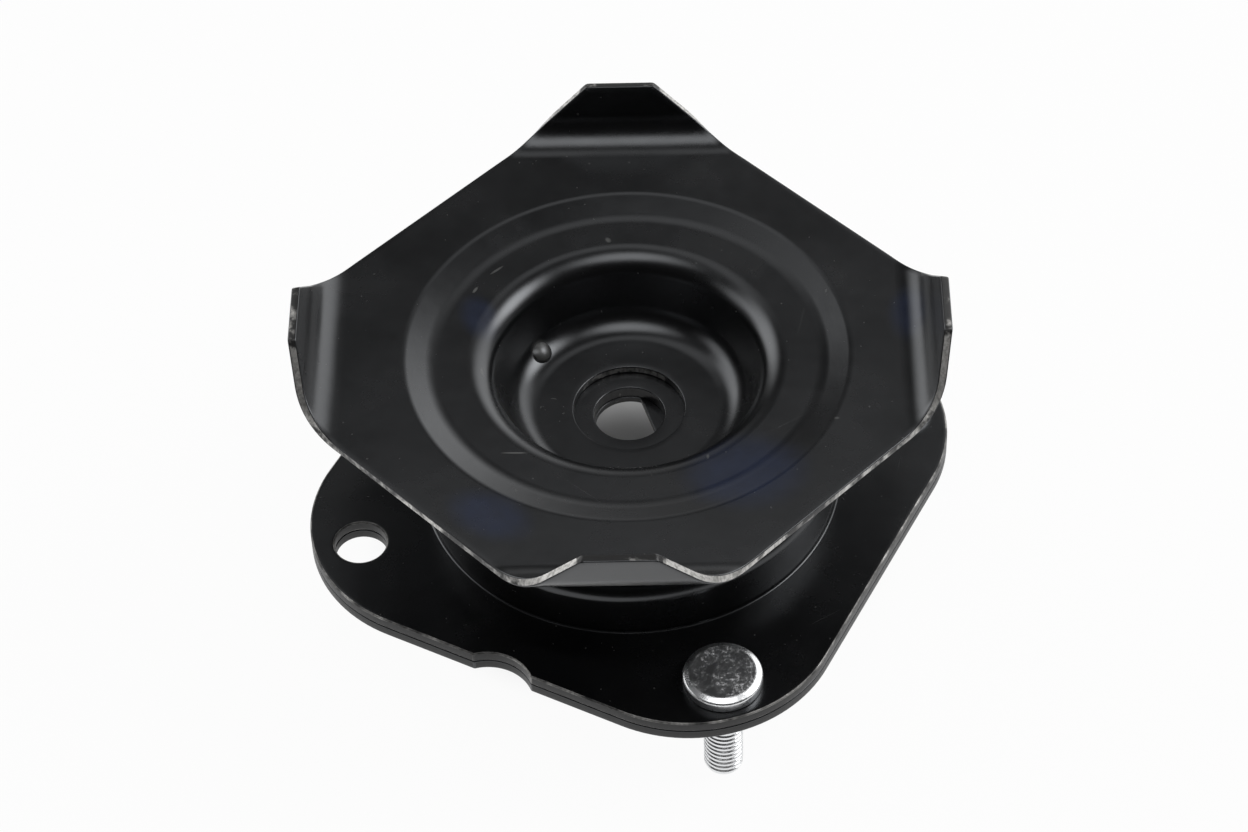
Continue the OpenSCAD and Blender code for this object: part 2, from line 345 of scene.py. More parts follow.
@dataclass(frozen=True)
class DipPaint:
    """Glossy black dip paint, with faint clouds, bluish patches, a few scuffs and two
    painted highlights.
    """

    name: str = "black dip paint"
    deep: Colour = (0.0010, 0.0010, 0.0011)
    thin: Colour = (0.0030, 0.0030, 0.0032)
    blue: Colour = (0.0035, 0.0075, 0.0240)
    # dust colour of the wear; the painted highlights on the pip and the near corner
    # use it too
    dust_and_painted_sheen: Colour = (0.11, 0.11, 0.105)
    sheen: Colour = (0.93, 0.96, 1.0)
    ior: float = 1.65
    gloss: float = 0.215
    haze: float = 0.09
    clouds: Noise = Noise(42.0, 5.0, 0.6)
    mottling: Noise = Noise(320.0, 4.0, 0.6)
    grain: Noise = Noise(1400.0, 2.0, 0.5)
    grain_depth: float = 0.000014
    waves: Noise = Noise(75.0, 2.0, 0.5)
    wave_depth: float = 0.00010
    specks: Noise = Noise(950.0, 1.0, 0.4)
    speck_keep: float = 0.775
    speck_soft: float = 0.04
    scratch_turns: Triple = (12.0, 58.0, 131.0)
    scratch_fine: float = 1700.0
    scratch_keep: float = 0.765
    patches: tuple[ColourSpot, ...] = (
        ColourSpot((23.0, -31.9, 41.0), (15.0, 13.0, 6.0), 0.0, 1.0),
        ColourSpot((-26.6, -43.2, 41.8), (11.0, 7.0, 5.0), 150.0, 0.9),
        ColourSpot((-30.0, 11.7, 40.5), (5.0, 8.0, 5.0), 20.0, 0.8),
        ColourSpot((57.0, 8.5, 42.5), (5.0, 9.0, 8.0), 0.0, 0.9),
    )
    scuffs_and_painted_sheen: tuple[ColourSpot, ...] = (
        ColourSpot((-22.2, -25.4, 39.8), (3.2, 0.22, 0.8), -1.0, 0.9),
        ColourSpot((-4.0, 33.3, 39.8), (0.7, 1.0, 0.8), 30.0, 0.4),
        ColourSpot((-26.9, 25.1, 39.8), (2.2, 0.35, 0.8), 42.0, 0.45),
        ColourSpot((-31.2, 19.5, 39.8), (1.2, 0.4, 0.8), 60.0, 0.6),
        ColourSpot((-29.3, -2.7, 39.0), (1.4, 0.35, 1.0), 100.0, 0.4),
        ColourSpot((40.5, 16.1, 41.8), (0.4, 0.8, 0.8), 0.0, 0.7),
        ColourSpot((41.4, -19.3, 41.8), (0.7, 0.4, 0.8), 0.0, 0.4),
        ColourSpot((15.8, -27.0, 39.8), (0.4, 1.0, 0.8), 0.0, 0.4),
        # painted reflection: lightens the near corner's bend and outer face where they
        # would mirror the white floor
        ColourSpot((-1.2, -66.0, 44.0), (17.0, 6.0, 3.6), 0.0, 0.9),
        # painted highlight: lightens the pip on the rounding round the bowl's floor
        ColourSpot((-18.0, 14.1, 27.0), (2.8, 2.8, 2.8), 0.0, 0.6),
    )

    def material(self) -> bpy.types.Material:
        """Builds the finish.

        Returns:
            The material.
        """
        made, sheet = new_material(self.name)
        at = sheet.place()
        cloud = sheet.span(sheet.noise(at, self.clouds), 0.3, 0.7)
        mottle = sheet.noise(at, self.mottling)
        grain = sheet.noise(at, self.grain)
        speck_end = self.speck_keep + self.speck_soft
        specks = sheet.span(sheet.noise(at, self.specks), self.speck_keep, speck_end)
        lines = sheet.scratches(
            at, self.scratch_turns, self.scratch_fine, self.scratch_keep
        )
        colour = sheet.mix(cloud * 0.7 + mottle * 0.3, self.deep, self.thin)
        for patch in self.patches:
            share = patch.mask(sheet, at) * (0.5 + mottle)
            colour = sheet.mix(share, colour, self.blue)
        # wear colour from scratches, specks and marks; two of the marks are painted
        # highlights that lighten the pip and the near corner's outer face
        worn = lines * 0.14 + specks * 0.3
        for mark in self.scuffs_and_painted_sheen:
            worn = worn + mark.mask(sheet, at) * (0.4 + mottle)
        hazy = cloud * (self.haze * 0.6) + mottle * (self.haze * 0.4)
        waves = sheet.bump(sheet.noise(at, self.waves), self.wave_depth)
        relief = grain * 0.3 + mottle * 0.8 - lines * 0.3
        sheet.cover(
            {
                "Base Color": sheet.mix(worn, colour, self.dust_and_painted_sheen),
                "Roughness": self.gloss + hazy + worn * 0.2,
                "Normal": sheet.bump(relief, self.grain_depth, waves),
                "IOR": self.ior,
                "Specular Tint": opaque(self.sheen),
            }
        )
        return made


@dataclass(frozen=True)
class ShearedEdge:
    """A sheared edge under thin paint, rubbed bare in places."""

    name: str
    bare_from: float
    high_lift: float = 0.0
    fade: float = 0.16
    steel: Colour = (0.64, 0.63, 0.61)
    dull: Colour = (0.28, 0.275, 0.265)
    paint: Colour = (0.006, 0.006, 0.0062)
    ior: float = 1.45
    streaks: Noise = Noise(1500.0, 3.0, 0.6)
    streak_stretch: Triple = (1.0, 1.0, 0.25)
    streak_depth: float = 0.00003
    rubbing: Noise = Noise(170.0, 4.0, 0.65)
    tab_foot: tuple[float, float] = (0.0415, 0.0450)
    tab_tip: tuple[float, float] = (0.0520, 0.0537)
    tip_paint: float = 0.12

    def material(self) -> bpy.types.Material:
        """Builds the finish; the edges of the turned-up corners are rubbed more.

        Returns:
            The material.
        """
        made, sheet = new_material(self.name)
        at = sheet.place()
        stretched = sheet.vector("MULTIPLY", at, self.streak_stretch)
        streak = sheet.noise(stretched, self.streaks)
        level = sheet.height(at)
        below_tip = sheet.span(level, self.tab_tip[1], self.tab_tip[0])
        high = sheet.span(level, *self.tab_foot) * below_tip
        rubbed = sheet.noise(at, self.rubbing) + streak * 0.2 + high * self.high_lift
        rubbed = rubbed - sheet.span(level, *self.tab_tip) * self.tip_paint
        bare = sheet.span(rubbed, self.bare_from, self.bare_from + self.fade)
        metal = sheet.mix(sheet.span(streak, 0.35, 0.7), self.steel, self.dull)
        sheet.cover(
            {
                "Base Color": sheet.mix(bare, self.paint, metal),
                "Metallic": bare,
                "Roughness": 0.30 + streak * 0.2,
                "Normal": sheet.bump(streak, self.streak_depth),
                "IOR": self.ior,
            }
        )
        return made


@dataclass(frozen=True)
class ZincPlate:
    """Zinc plate, bright on the shank and with a speckled bloom on top of the head."""

    name: str = "zinc plate"
    bright: Colour = (0.82, 0.83, 0.84)
    bloom: Colour = (0.52, 0.525, 0.53)
    clouds: Noise = Noise(330.0, 5.0, 0.65)
    grain: Noise = Noise(2200.0, 2.0, 0.5)
    grain_depth: float = 0.00003
    sparks: Noise = Noise(1500.0, 3.0, 0.7)
    head_top: tuple[float, float] = (0.00764, 0.00779)

    def material(self) -> bpy.types.Material:
        """Builds the finish.

        Returns:
            The material.
        """
        made, sheet = new_material(self.name)
        at = sheet.place()
        cloud = sheet.span(sheet.noise(at, self.clouds), 0.3, 0.72)
        grain = sheet.noise(at, self.grain)
        sparks = sheet.span(sheet.noise(at, self.sparks), 0.50, 0.66) * cloud
        top = sheet.span(sheet.height(at), *self.head_top)
        grey = cloud * 0.2 + top * (0.82 - sparks * 0.7)
        sheet.cover(
            {
                "Base Color": sheet.mix(grey, self.bright, self.bloom),
                "Metallic": 1.0,
                "Roughness": 0.25 + cloud * 0.10 + top * (0.05 + sparks * 0.40),
                "Normal": sheet.bump(grain * 0.5 + cloud, self.grain_depth),
            }
        )
        return made


@dataclass(frozen=True)
class MouldedRubber:
    """Matt black rubber with a trace of bloom."""

    name: str = "moulded rubber"
    black: Colour = (0.010, 0.010, 0.010)
    bloom: Colour = (0.026, 0.026, 0.025)
    clouds: Noise = Noise(120.0, 4.0, 0.6)
    skin: Noise = Noise(1800.0, 3.0, 0.6)
    skin_depth: float = 0.00004

    def material(self) -> bpy.types.Material:
        """Builds the finish.

        Returns:
            The material.
        """
        made, sheet = new_material(self.name)
        at = sheet.place()
        cloud = sheet.noise(at, self.clouds)
        sheet.cover(
            {
                "Base Color": sheet.mix(cloud, self.black, self.bloom),
                "Roughness": 0.62 + cloud * 0.2,
                "Normal": sheet.bump(sheet.noise(at, self.skin), self.skin_depth),
            }
        )
        return made


@dataclass
class Finishes:
    """The finished materials that the pieces share."""

    paint: bpy.types.Material
    edges: dict[EdgeWear, bpy.types.Material]
    zinc: bpy.types.Material
    rubber: bpy.types.Material

    @classmethod
    def mixed(cls) -> "Finishes":
        """Builds every finish once.

        Returns:
            The finishes.
        """
        looks = {
            EdgeWear.RUBBED: ShearedEdge("rubbed sheared edge", 0.54, 0.20),
            EdgeWear.WORN: ShearedEdge("worn corner line", 0.40, fade=0.55),
            EdgeWear.PAINTED: ShearedEdge("painted sheared edge", 0.78),
        }
        edges = {wear: look.material() for wear, look in looks.items()}
        others = (ZincPlate().material(), MouldedRubber().material())
        return cls(DipPaint().material(), edges, *others)


class Pen:
    """Draws a line of edges by moving and turning its last vertex."""

    def __init__(
        self, mesh: Mesh, start: Vector, heading: Vector, normal: Vector
    ) -> None:
        """Puts the pen down.

        Args:
            mesh: the mesh to draw in.
            start: the first point.
            heading: the direction it sets off in.
            normal: the axis it turns about; a positive turn is to the left
                seen against it.
        """
        self.mesh = mesh
        self.heading = heading.copy()
        self.normal = normal
        self.first = bmesh.ops.create_vert(mesh, co=start)["vert"][0]
        self.tip = self.first

    def line_to(self, point: Vector) -> "Pen":
        """Draws straight to a point.

        Args:
            point: where the line ends.

        Returns:
            The pen.
        """
        grown = bmesh.ops.extrude_vert_indiv(self.mesh, verts=[self.tip])["verts"][0]
        bmesh.ops.translate(self.mesh, verts=[grown], vec=point - self.tip.co)
        self.tip = grown
        return self

    def through(self, points: Iterable[tuple[float, float]]) -> "Pen":
        """Draws straight from point to point in the XZ plane.

        Args:
            points: the radius and the height of each point.

        Returns:
            The pen.
        """
        for radius, level in points:
            self.line_to(Vector((radius, 0.0, level)))
        return self

    def forward(self, length: float, parts: int = 1) -> "Pen":
        """Draws straight ahead.

        Args:
            length: the length of the line.
            parts: the number of equal edges in it.

        Returns:
            The pen.
        """
        for _ in range(parts):
            self.line_to(self.tip.co + self.heading * (length / parts))
        return self

    def kink(self, degrees: float) -> "Pen":
        """Turns on the spot."""
        self.heading.rotate(Quaternion(self.normal, math.radians(degrees)))
        return self

    def turn(self, degrees: float, radius: float, step: float = 6.0) -> "Pen":
        """Draws a round bend.

        Args:
            degrees: how far it turns, positive to the left.
            radius: the bend's radius.
            step: the largest turn of one edge, in degrees.

        Returns:
            The pen.
        """
        side = self.normal.cross(self.heading) * math.copysign(radius, degrees)
        swept = bmesh.ops.spin(
            self.mesh,
            geom=[self.tip],
            cent=self.tip.co + side,
            axis=self.normal,
            angle=math.radians(degrees),
            steps=max(1, math.ceil(abs(degrees) / step)),
        )
        last = swept["geom_last"]
        self.tip = next(v for v in last if isinstance(v, bmesh.types.BMVert))
        return self.kink(degrees)

    def close(self) -> "Pen":
        """Joins the last point to the first."""
        bmesh.ops.contextual_create(self.mesh, geom=[self.tip, self.first])
        return self


def bearing(degrees: float) -> Vector:
    """A level direction, in degrees from +X towards +Y."""
    angle = math.radians(degrees)
    return Vector((math.cos(angle), math.sin(angle), 0.0))


def everything(mesh: Mesh) -> list[Any]:
    """All vertices, edges and faces of a mesh."""
    return mesh.verts[:] + mesh.edges[:] + mesh.faces[:]


def ring(mesh: Mesh, middle: Vector, radius: float, segments: int) -> None:
    """Draws a level circle of edges.

    Args:
        mesh: the mesh to draw in.
        middle: the circle's middle.
        radius: its radius.
        segments: the number of its edges.
    """
    spot = Matrix.Translation(middle)
    bmesh.ops.create_circle(
        mesh, cap_ends=False, radius=radius, segments=segments, matrix=spot
    )


def cut_off(mesh: Mesh, point: Vector, way: Vector) -> None:
    """Cuts away what lies beyond a plane.

    Args:
        mesh: the mesh to cut.
        point: a point of the plane.
        way: the direction of the side that goes.
    """
    bmesh.ops.bisect_plane(
        mesh,
        geom=everything(mesh),
        dist=1e-4,
        plane_co=point,
        plane_no=way,
        clear_outer=True,
    )


def revolve(mesh: Mesh, steps: int) -> None:
    """Spins every wire edge of a mesh once about Z.

    Args:
        mesh: the mesh that holds the drawn profile.
        steps: the number of faces round the axis.
    """
    wires = [e for e in mesh.edges if e.is_wire]
    bmesh.ops.spin(
        mesh,
        geom=wires + list(dict.fromkeys(v for e in wires for v in e.verts)),
        cent=(0, 0, 0),
        axis=UP,
        angle=math.tau,
        steps=steps,
        use_merge=True,
    )
    bmesh.ops.remove_doubles(mesh, verts=mesh.verts[:], dist=1e-4)


def outer_rim(mesh: Mesh, radius: float) -> list[bmesh.types.BMEdge]:
    """The open edges of a revolved mesh that lie at its largest radius."""
    open_edges = [e for e in mesh.edges if e.is_boundary]
    return [e for e in open_edges if e.verts[0].co.xy.length > radius - 0.5]


def merge_line(mesh: Mesh, distance: float) -> None:
    """Merges the doubled points of a drawn line."""
    loose = [v for v in mesh.verts if v.is_wire]
    bmesh.ops.remove_doubles(mesh, verts=loose, dist=distance)


def fill_flat(
    mesh: Mesh, rims: Iterable[bmesh.types.BMEdge], border: float
) -> None:
    """Fills the flat between its loops, with even faces along the open edges.

    Args:
        mesh: the mesh that holds the loops.
        rims: open edges of other faces that the flat joins.
        border: the width of the even faces.
    """
    loops = [e for e in mesh.edges if e.is_wire] + list(rims)
    bmesh.ops.triangle_fill(
        mesh, edges=loops, use_beauty=True, use_dissolve=False, normal=UP
    )
    bmesh.ops.inset_region(
        mesh,
        faces=mesh.faces[:],
        thickness=border,
        use_boundary=True,
        use_even_offset=True,
        use_interpolate=False,
    )


def baked(name: str, mesh: Mesh) -> bpy.types.Mesh:
    """Turns a drawn mesh into mesh data.

    Args:
        name: the name of the data.
        mesh: the drawn mesh; it is used up.

    Returns:
        The mesh data.
    """
    data = bpy.data.meshes.new(name)
    mesh.to_mesh(data)
    mesh.free()
    return data


def shown(name: str, data: bpy.types.ID) -> bpy.types.Object:
    """Puts a mesh, a lamp or a camera in the scene.

    Args:
        name: the object's name.
        data: what it shows.

    Returns:
        The object, at the origin.
    """
    made = bpy.data.objects.new(name, data)
    bpy.context.scene.collection.objects.link(made)
    return made


def finished(
    name: str, mesh: Mesh, nodes: Iterable[str]
) -> bpy.types.Object:
    """Makes a piece of a drawn mesh.

    Args:
        name: the piece's name.
        mesh: the drawn mesh, in millimetres; it is used up.
        nodes: the CAD nodes that the piece stands for.

    Returns:
        The piece, riding on the one body.
    """
    bmesh.ops.scale(mesh, vec=(MM, MM, MM), verts=mesh.verts[:])
    for face in mesh.faces:
        face.smooth = True
    piece = shown(name, baked(name, mesh))
    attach(piece, BODY)
    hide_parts(*nodes)
    return piece


def soften(piece: bpy.types.Object, width: float, place: int = 0) -> None:
    """Rounds the sharp edges of a piece.

    Args:
        piece: the piece.
        width: the width of the rounding, in millimetres.
        place: the number of the material that the rounding gets.
    """
    edges = piece.modifiers.new("broken edges", "BEVEL")
    edges.limit_method = "ANGLE"
    edges.angle_limit = math.radians(BROKEN_ABOVE)
    edges.width = width * MM
    edges.segments = BROKEN_PARTS
    edges.material = place
    edges.use_clamp_overlap = False
    weights = piece.modifiers.new("even shading", "WEIGHTED_NORMAL")
    weights.keep_sharp = True


@dataclass
class Sheet:
    """A pressed sheet, drawn as its middle surface and thickened."""

    name: str = "sheet"
    thickness: float = 1.0
    edge_round: float = 0.2
    wear: EdgeWear = EdgeWear.PAINTED
    corner_wear: Optional[EdgeWear] = None
    slot: Slot = Slot.SEAT
    nodes: tuple[str, ...] = ()
    round_parts: int = 180

    def build(self) -> bpy.types.Object:
        """Draws the piece; each sheet has its own way."""
        raise NotImplementedError

    def settle(self, mesh: Mesh) -> bpy.types.Object:
        """Turns a drawn middle surface into the finished piece.

        Args:
            mesh: the middle surface, in millimetres.

        Returns:
            The piece, at the origin.
        """
        bmesh.ops.recalc_face_normals(mesh, faces=mesh.faces[:])
        piece = finished(self.name, mesh, self.nodes)
        thick = piece.modifiers.new("sheet thickness", "SOLIDIFY")
        thick.thickness = self.thickness * MM
        thick.offset = 0.0
        thick.use_even_offset = True
        thick.use_quality_normals = True
        thick.material_offset_rim = 1
        soften(piece, self.edge_round, 2 if self.corner_wear else 0)
        return piece

    def dress(self, piece: bpy.types.Object, finishes: Finishes) -> None:
        """Paints the faces and gives the cut edges their wear.

        Args:
            piece: the built piece.
            finishes: the shared materials.
        """
        piece.data.materials.append(finishes.paint)
        piece.data.materials.append(finishes.edges[self.wear])
        if self.corner_wear:
            piece.data.materials.append(finishes.edges[self.corner_wear])


@dataclass
class SpringSeat(Sheet):
    """The square seat: four turned-up corners, a shallow step and a deep bowl."""

    name: str = "seat_pressing"
    thickness: float = 1.8
    edge_round: float = 0.28
    wear: EdgeWear = EdgeWear.RUBBED
    slot: Slot = Slot.SEAT
    nodes: tuple[str, ...] = ("spring_seat",)
    level: float = 40.9
    ring_r: float = 48.7
    ring_width: float = 3.0
    step_degrees: float = 20.0
    step_outer_r: float = 3.1
    step_slope: float = 3.713
    step_inner_r: float = 9.0
    step_flat: float = 5.573
    wall_degrees: float = 72.0
    rim_r: float = 5.1
    wall_length: float = 6.723
    floor_r: float = 7.5
    floor_width: float = 7.089
    shift: float = -1.2
    reach: float = 73.72
    tip_width: float = 14.2
    tip_round: float = 1.4
    tip_parts: int = 9
    lead_parts: int = 7
    side_parts: int = 34
    bend_start: float = 55.8
    bend_length: float = 10.89
    bend_degrees: float = 79.0
    bend_parts: int = 12
    facet: float = 4.0
    fine_facet: float = 2.5
    tip_facet: float = 12.0
    pip_name: str = "seat_pip"
    pip_r: float = 3.4
    pip_height: float = 1.1
    pip_turn: float = 142.0
    pip_lean: float = 42.0
    floor_round: float = 6.6
    floor_round_middle: Triple = (18.44, 0.0, 31.3)

    def build(self) -> bpy.types.Object:
        """Draws the pressing.

        Returns:
            The piece.
        """
        mesh = bmesh.new()
        pen = Pen(mesh, Vector((self.ring_r, 0.0, self.level)), INWARDS, ACROSS)
        pen.forward(self.ring_width)
        pen.turn(-self.step_degrees, self.step_outer_r, self.facet)
        pen.forward(self.step_slope)
        pen.turn(self.step_degrees, self.step_inner_r, self.fine_facet)
        pen.forward(self.step_flat).turn(-self.wall_degrees, self.rim_r, self.facet)
        pen.forward(self.wall_length, 2)
        pen.turn(self.wall_degrees, self.floor_r, self.facet)
        pen.forward(self.floor_width, 3)
        revolve(mesh, self.round_parts)
        rims = outer_rim(mesh, self.ring_r)
        self.outline(mesh)
        fill_flat(mesh, rims, self.bend_length / self.bend_parts * ROOT_TWO)
        for corner in range(4):
            self.fold(mesh, bearing(90.0 * corner))
        return self.settle(mesh)

    def outline(self, mesh: Mesh) -> None:
        """Draws the flat blank: a square with its corners cut off.

        Each side has a point where a bending line meets it.

        Args:
            mesh: the mesh to draw in.
        """
        cut = self.tip_round * math.tan(math.radians(22.5))
        half = self.tip_width / 2
        lead = (self.reach - self.bend_start - self.bend_length) * ROOT_TWO - cut
        bend = self.bend_length * ROOT_TWO
        middle = (self.reach - half) * ROOT_TWO - 2 * (lead + bend + cut)
        start = Vector((self.reach + self.shift, cut - half, self.level))
        pen = Pen(mesh, start, ACROSS, UP)
        for _ in range(4):
            pen.forward(self.tip_width - 2 * cut, self.tip_parts)
            pen.turn(45.0, self.tip_round, self.tip_facet)
            pen.forward(lead, self.lead_parts)
            pen.forward(bend, self.bend_parts).forward(middle, self.side_parts)
            pen.forward(bend, self.bend_parts).forward(lead, self.lead_parts)
            pen.turn(45.0, self.tip_round, self.tip_facet)
        merge_line(mesh, 1e-2)

    def fold(self, mesh: Mesh, way: Vector) -> None:
        """Turns one corner up, line by line from the outermost.

        Args:
            mesh: the flat blank.
            way: the direction of the corner.
        """
        middle = Vector((self.shift, 0.0, self.level))
        count = self.bend_parts
        lines = [
            self.bend_start + self.bend_length * k / count for k in range(count + 1)
        ]
        for line in lines:
            bmesh.ops.bisect_plane(
                mesh,
                geom=everything(mesh),
                dist=5e-3,
                plane_co=middle + way * line,
                plane_no=way,
            )
        for k in range(count, -1, -1):
            share = 0.5 if k in (0, count) else 1.0
            angle = math.radians(self.bend_degrees * share / count)
            bmesh.ops.rotate(
                mesh,
                verts=[
                    v for v in mesh.verts if (v.co - middle).dot(way) > lines[k] + 1e-2
                ],
                cent=middle + way * lines[k],
                matrix=Matrix.Rotation(angle, 3, way.cross(UP)),
            )

    def pip(self, finishes: Finishes) -> bpy.types.Object:
        """Adds the small pressed pip on the rounding round the bowl's floor.

        Args:
            finishes: the shared materials.

        Returns:
            The piece.
        """
        turn = Quaternion(UP, math.radians(self.pip_turn))
        outward = turn @ Quaternion(ACROSS, -math.radians(self.pip_lean)) @ -UP
        middle = turn @ Vector(self.floor_round_middle)
        spot = middle + outward * (self.floor_round + self.pip_r - self.pip_height)
        mesh = bmesh.new()
        bmesh.ops.create_uvsphere(
            mesh,
            u_segments=40,
            v_segments=24,
            radius=self.pip_r,
            matrix=Matrix.Translation(spot),
        )
        inside = middle + outward * (self.floor_round + self.thickness / 2)
        cut_off(mesh, inside, outward)
        piece = finished(self.pip_name, mesh, self.nodes)
        piece.data.materials.append(finishes.paint)
        return piece


@dataclass
class InnerCup(Sheet):
    """The cup under the bowl's floor, with the round rod hole."""

    name: str = "rod_cup"
    thickness: float = 2.8
    edge_round: float = 0.3
    slot: Slot = Slot.INNER
    nodes: tuple[str, ...] = ("inner_cup",)
    round_parts: int = 128
    level: float = 9.6
    flange_r: float = 33.5
    flange_width: float = 9.477
    foot_r: float = 3.4
    wall_degrees: float = 75.0
    wall_length: float = 7.486
    shoulder_r: float = 2.9
    crown_width: float = 8.8

    def build(self) -> bpy.types.Object:
        """Draws the cup from its flange to its hole.

        Returns:
            The piece.
        """
        mesh = bmesh.new()
        pen = Pen(mesh, Vector((self.flange_r, 0.0, self.level)), INWARDS, ACROSS)
        pen.forward(self.flange_width).turn(self.wall_degrees, self.foot_r)
        pen.forward(self.wall_length).turn(-self.wall_degrees, self.shoulder_r)
        pen.forward(self.crown_width, 4)
        revolve(mesh, self.round_parts)
        return self.settle(mesh)


@dataclass
class KeyedPlate(Sheet):
    """The thin plate under the crown whose hole has a flat."""

    name: str = "keyed_disc"
    thickness: float = 1.4
    edge_round: float = 0.15
    slot: Slot = Slot.INNER
    nodes: tuple[str, ...] = ("keyed_plate",)
    round_parts: int = 96
    level: float = 19.4
    disc_r: float = 13.5
    hole_r: float = 7.0
    flat: float = 4.3
    flat_turn: float = 18.0
    border: float = 0.4

    def build(self) -> bpy.types.Object:
        """Draws the disc and its hole.

        Returns:
            The piece.
        """
        mesh = bmesh.new()
        middle = UP * self.level
        ring(mesh, middle, self.disc_r, self.round_parts)
        half = math.degrees(math.acos(self.flat / self.hole_r))
        ray = bearing(self.flat_turn + half)
        pen = Pen(mesh, ray * self.hole_r + middle, UP.cross(ray), UP)
        pen.turn(360.0 - 2 * half, self.hole_r, 5.0).close()
        fill_flat(mesh, (), self.border)
        return self.settle(mesh)


@dataclass
class MountPlate(Sheet):
    """One of the two sheets of the mount plate."""

    slot: Slot = Slot.PLATE
    corner_wear: Optional[EdgeWear] = EdgeWear.WORN
    thickness: float = 2.4
    edge_round: float = 0.35
    level: float = 1.2
    side: float = 114.29
    side_parts: int = 24
    corner_r: float = 30.5
    corner_step: float = 3.0
    turn: float = 18.0
    notch_way: float = 315.0
    notch_r: float = 9.5
    notch_depth: float = 2.5
    notch_side_parts: int = 10
    bolt_ring: float = 58.5
    open_corner: int = 2
    hole_r: float = 5.35
    hole_parts: int = 56
    neck_r: float = 4.65
    border: float = 0.9

    def outline(self, mesh: Mesh) -> None:
        """Draws the rounded square with its notch, the open hole and the stud holes.

        Args:
            mesh: the mesh to draw in.
        """
        straight = self.side - 2 * self.corner_r
        reach = self.notch_r - self.notch_depth
        half = math.sqrt(self.notch_r**2 - reach**2)
        lean = math.degrees(math.asin(half / self.notch_r))
        lift = UP * self.level
        heading = bearing(self.turn + self.notch_way)
        outward = heading.cross(UP)
        start = outward * (self.side / 2) - heading * (straight / 2) + lift
        pen = Pen(mesh, start, heading, UP)
        pen.forward(straight / 2 - half, self.notch_side_parts)
        pen.kink(lean).turn(-2 * lean, self.notch_r, 5.0).kink(lean)
        pen.forward(straight / 2 - half, self.notch_side_parts)
        for _ in range(3):
            pen.turn(90.0, self.corner_r, self.corner_step)
            pen.forward(straight, self.side_parts)
        pen.turn(90.0, self.corner_r, self.corner_step)
        merge_line(mesh, 1e-3)
        for corner in range(4):
            spot = bearing(self.turn + 90.0 * corner) * self.bolt_ring + lift
            radius = self.hole_r if corner == self.open_corner else self.neck_r
            ring(mesh, spot, radius, self.hole_parts)


@dataclass
class DrumPlate(MountPlate):
    """The strut-side sheet with its drum."""

    name: str = "drum_sheet"
    nodes: tuple[str, ...] = ("drum_plate",)
    level: float = 3.6
    ring_r: float = 46.5
    ring_width: float = 2.9
    foot_r: float = 1.8
    wall_length: float = 8.4
    shoulder_r: float = 2.4
    roof_width: float = 12.4

    def build(self) -> bpy.types.Object:
        """Draws the drum and the flat round it.

        Returns:
            The piece.
        """
        mesh = bmesh.new()
        pen = Pen(mesh, Vector((self.ring_r, 0.0, self.level)), INWARDS, ACROSS)
        pen.forward(self.ring_width).turn(90.0, self.foot_r)
        pen.forward(self.wall_length, 2).turn(-90.0, self.shoulder_r)
        pen.forward(self.roof_width, 4)
        revolve(mesh, self.round_parts)
        rims = outer_rim(mesh, self.ring_r)
        self.outline(mesh)
        fill_flat(mesh, rims, self.border)
        return self.settle(mesh)


@dataclass
class BodyPlate(MountPlate):
    """The body-side sheet with its access opening."""

    corner_wear: Optional[EdgeWear] = None
    name: str = "body_sheet"
    nodes: tuple[str, ...] = ("body_plate",)
    round_parts: int = 128
    access_r: float = 28.0

    def build(self) -> bpy.types.Object:
        """Draws the sheet.

        Returns:
            The piece.
        """
        mesh = bmesh.new()
        self.outline(mesh)
        ring(mesh, UP * self.level, self.access_r, self.round_parts)
        fill_flat(mesh, (), self.border)
        return self.settle(mesh)


